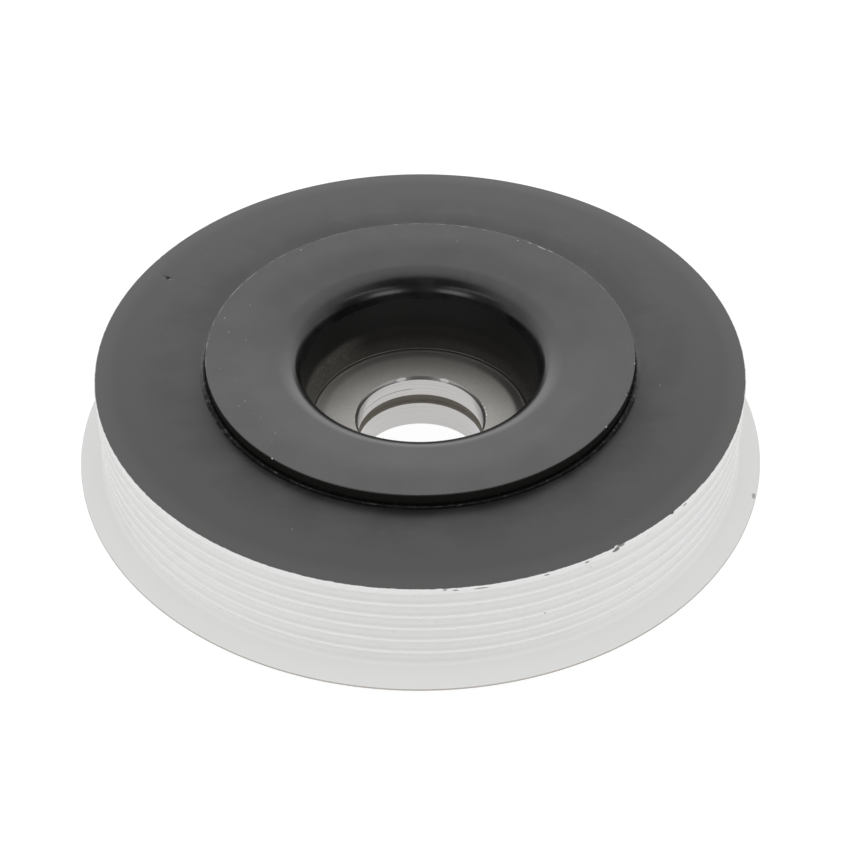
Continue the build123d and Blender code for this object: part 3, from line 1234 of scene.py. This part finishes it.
@dataclass(frozen=True)
class HubCup:
    """Steel hub: bored nose, washer seat and the well's tapered wall."""

    bore: float = 15.0
    bore_chamfer: float = 0.60
    mouth_break: float = 0.72     # depth of the break at the bore's front edge
    groove_radius: float = 16.0
    groove_low: float = 7.3
    groove_high: float = 10.0
    nose: float = 21.0
    seat: float = 15.50
    seat_radius: float = 24.9
    floor: float = 15.6
    floor_radius: float = 26.1
    wall_top: float = 28.9
    lip_outer: float = 30.9
    lip_end: float = 29.3
    mouth: float = 31.2
    journal: float = 32.5
    back: float = 9.5
    nose_chamfer: float = 0.8
    back_chamfer: float = 1.0

    def outline(self) -> list[Corner]:
        """Corners of the hub's section."""
        return [
            Corner(self.bore + self.bore_chamfer, 0.0, 0.1, 2),
            Corner(self.nose - self.nose_chamfer, 0.0, 0.15, 2),
            Corner(self.nose, self.nose_chamfer, 0.15, 2),
            Corner(self.nose, self.back, 1.0),
            Corner(self.journal - self.back_chamfer, self.back, 0.2, 2),
            Corner(self.journal, self.back + self.back_chamfer, 0.2, 2),
            Corner(self.journal, self.mouth, 0.3, 3),
            Corner(self.lip_outer + 0.6, self.mouth),
            Corner(self.lip_outer, self.mouth - 1.2),
            Corner(self.lip_outer, self.lip_end),
            Corner(self.wall_top, self.lip_end, 0.2, 3),
            Corner(self.floor_radius, self.floor + 0.16, 0.05, 2),
            Corner(self.floor_radius - 0.10, self.floor + 0.06, 0.03, 2),
            Corner(self.floor_radius - 0.14, self.floor),
            Corner(self.seat_radius, self.floor, 0.12, 3),
            Corner(self.seat_radius, self.seat, 0.2, 3),
            Corner(self.bore + self.bore_chamfer, self.seat, 0.06, 2),
            Corner(self.bore, self.seat - self.mouth_break, 0.06, 2),
            Corner(self.bore, self.groove_high, 0.08, 2),
            Corner(self.groove_radius, self.groove_high, 0.15, 2),
            Corner(self.groove_radius, self.groove_low, 0.15, 2),
            Corner(self.bore, self.groove_low, 0.08, 2),
            Corner(self.bore, self.bore_chamfer, 0.06, 2),
        ]

    def burrs(self) -> list[Mark]:
        """Burrs round the bore's front edge, painted white for their glints, by angle, way out, length,
        width and strength.
        """
        edge = self.bore + self.bore_chamfer + 0.1
        rows = (
            (18.0, 0.0, 0.7, 0.22, 0.9), (13.0, 0.1, 1.0, 0.25, 1.0), (8.0, 0.1, 0.8, 0.25, 0.9),
            (3.5, 0.1, 1.1, 0.28, 1.0), (-1.0, 0.0, 0.8, 0.22, 0.8), (-178.0, 0.1, 0.7, 0.2, 0.5),
            (172.0, 0.0, 0.6, 0.2, 0.4),
        )
        return [Mark.flat(self.seat, angle, edge + out, *rest) for angle, out, *rest in rows]

    def glints(self) -> list[Mark]:
        """Two painted light spots on the far edge's break, in place of glints of the lamps."""
        middle = self.bore + self.bore_chamfer - 0.25
        return [Mark(angle, middle, self.seat - 0.4, 2.7, 0.9, 0.9) for angle in (107.5, 67.5)]

    def build(self) -> None:
        """Turns, finishes and mounts the hub."""
        hub = Lathe(288).turn("hub_cup", self.outline())
        dress(hub, HubSteel().material(self.burrs() + self.glints()))
        mount(hub, "hub")


@dataclass(frozen=True)
class Internals:
    """Pieces of the part that keep their own shape and show only from behind."""

    finishes: tuple[tuple[str, PlainFinish], ...] = (
        ("coupling_ring", PlainFinish(
            "plated_steel", (0.42, 0.40, 0.34), (0.30, 0.29, 0.26), 1.0, 0.42)),
        ("bearing_bush", PlainFinish(
            "bush_plastic", (0.20, 0.17, 0.11), (0.14, 0.12, 0.08), 0.0, 0.5, 0.01)),
        ("damper_carrier", PlainFinish(
            "carrier_paint", (0.040, 0.040, 0.040), (0.052, 0.051, 0.050), 0.0, 0.42, 0.0, 0.012, 0.6)),
        ("inertia_ring", PlainFinish(
            "cast_iron", (0.085, 0.082, 0.078), (0.13, 0.115, 0.10), 0.6, 0.55, 0.015, 0.02, 0.9)),
        ("damping_rubber", PlainFinish(
            "damping_rubber", (0.016, 0.016, 0.016), (0.030, 0.029, 0.028), 0.0, 0.6, 0.0, 0.01, 2.5)),
    )

    def build(self) -> None:
        """Gives each piece its finish."""
        for node, finish in self.finishes:
            dress(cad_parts[node], finish.material())
            log.info("%s keeps its shape, finish %s", node, finish.name)


# ---------------------------------------------------------------- studio
@dataclass(frozen=True)
class Softbox:
    """A square lamp that looks at the part.

    Attributes:
        name: The lamp's name.
        place: Where it stands, in metres.
        size: Its two sides in metres.
        power: Its power in watts.
    """

    name: str
    place: tuple[float, float, float]
    size: tuple[float, float]
    power: float

    def build(self) -> None:
        """Puts up the lamp."""
        lamp = bpy.data.lights.new(self.name, "AREA")
        lamp.shape = "RECTANGLE"
        lamp.size, lamp.size_y = self.size
        lamp.energy = self.power
        stand = bpy.data.objects.new(self.name, lamp)
        stand.location = self.place
        aim = Vector((0.0, 0.0, 0.02)) - Vector(self.place)
        stand.rotation_euler = aim.to_track_quat("-Z", "Y").to_euler()
        bpy.context.scene.collection.objects.link(stand)


@dataclass(frozen=True)
class Dome:
    """The light all round: a white horizon, a broad light overhead and a dim side by the camera.

    It isn't a real light: glossy rays get one set of strengths and rough surfaces another. The two
    sets were fitted to one view.

    Attributes:
        axis: Where the overhead light's middle lies.
        rim: Cosines at which the overhead light ends and is whole.
        dusk: How far toward the camera the dim side begins and is whole.
        levels: Strengths of the horizon, overhead light and dim side, as a gloss shows them.
        ambient: Strengths of the same three on rough surfaces.
    """

    axis: Direction = (0.0, 0.707, 0.707)
    rim: tuple[float, float] = (0.460, 0.850)
    dusk: tuple[float, float] = (0.0, 0.38)
    levels: tuple[float, float, float] = (1.10, 2.20, 0.14)
    ambient: tuple[float, float, float] = (1.72, 0.60, 0.48)

    def build(self) -> None:
        """Makes the world."""
        world = bpy.data.worlds.new("studio")
        world.use_nodes = True
        bpy.context.scene.world = world
        nodes = Nodes(world.node_tree)
        way = nodes.vector("NORMALIZE", nodes.add("ShaderNodeTexCoord").outputs["Generated"])
        overhead = nodes.rise(nodes.vector("DOT_PRODUCT", way, self.axis), *self.rim)
        near = nodes.product(nodes.add("ShaderNodeSeparateXYZ", Vector=way).outputs["Y"], -1.0)
        dusk = nodes.rise(near, *self.dusk)
        gloss, rough = (
            nodes.blend(overhead, nodes.lerp(dusk, horizon, dim), bright)
            for horizon, bright, dim in (self.levels, self.ambient)
        )
        path = nodes.add("ShaderNodeLightPath").outputs
        level = nodes.blend(path["Is Glossy Ray"], rough, gloss)
        level = nodes.blend(path["Is Camera Ray"], level, 1.0)
        light = nodes.add("ShaderNodeBackground", Color=(1.0, 1.0, 1.0), Strength=level)
        nodes.add("ShaderNodeOutputWorld", Surface=light.outputs[0])


@dataclass(frozen=True)
class Studio:
    """Floor, light and camera."""

    camera_place: tuple[float, float, float] = (0.0, -0.370861, 0.337619)
    camera_turn: tuple[float, float, float] = (48.81946, 0.11616, -0.26947)
    lens: float = 87.28306
    floor_size: float = 6.0
    floor_pale: Colour = (0.80, 0.80, 0.80)    # what lights the part
    floor_seen: Colour = (0.16, 0.16, 0.16)    # under the glow, so that the shadow still shows
    floor_glow: float = 0.93
    dome: Dome = Dome()
    lamps: tuple[Softbox, ...] = (
        Softbox("left_softbox", (-0.83, -1.44, 0.45), (0.75, 0.5), 4.4),
        Softbox("right_softbox", (0.83, -1.44, 0.45), (0.75, 0.5), 4.4),
        Softbox("left_strip", (-1.10, -0.95, 1.15), (1.3, 0.22), 2.2),
        Softbox("right_strip", (1.10, -0.95, 1.15), (1.3, 0.22), 2.2),
    )

    def build(self) -> None:
        """Sets up the whole studio."""
        self._floor()
        self.dome.build()
        for lamp in self.lamps:
            lamp.build()
        self._camera()
        bpy.context.scene.view_settings.view_transform = "Standard"

    def _floor(self) -> None:
        """Lays a plain floor under the nose."""
        bpy.ops.object.select_all(action="DESELECT")
        bpy.ops.mesh.primitive_plane_add(size=self.floor_size, location=(0, 0, 0))
        floor = bpy.context.object
        floor.name = "floor"
        graph = Graph("floor")
        seen = self._seen(graph)
        diffuse = graph.add("ShaderNodeBsdfDiffuse", Color=graph.mix(seen, self.floor_pale, self.floor_seen))
        glow = graph.add(
            "ShaderNodeEmission", Color=(1.0, 1.0, 1.0), Strength=graph.product(seen, self.floor_glow)
        )
        both = graph.add("ShaderNodeAddShader")
        graph.feed(both.inputs[0], diffuse.outputs[0])
        graph.feed(both.inputs[1], glow.outputs[0])
        graph.add("ShaderNodeOutputMaterial", Surface=both.outputs[0])
        dress(floor, graph.material)

    @staticmethod
    def _seen(graph: Graph) -> bpy.types.NodeSocket:
        """1 for rays that see the surface itself, or see it in a gloss or through glass."""
        path = graph.add("ShaderNodeLightPath").outputs
        seen = graph.math("MAXIMUM", path["Is Camera Ray"], path["Is Glossy Ray"])
        return graph.math("MAXIMUM", seen, path["Is Transmission Ray"])

    def _camera(self) -> None:
        """Places the camera."""
        camera = bpy.data.cameras.new("camera")
        camera.lens = self.lens
        camera.sensor_width = 36.0
        camera.clip_start = 0.01
        stand = bpy.data.objects.new("camera", camera)
        stand.location = self.camera_place
        stand.rotation_euler = [math.radians(turn) for turn in self.camera_turn]
        bpy.context.scene.collection.objects.link(stand)
        bpy.context.scene.camera = stand


def main() -> None:
    """Builds the balancer's pieces in order, then the studio."""
    logging.basicConfig(level=logging.INFO, format="%(name)s: %(message)s")
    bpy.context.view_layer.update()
    for assembly in (BeltPulley(), CentrePlate(), HubCup(), Internals(), Studio()):
        assembly.build()
        log.info("%s done", type(assembly).__name__)


if __name__ == "__main__":
    main()
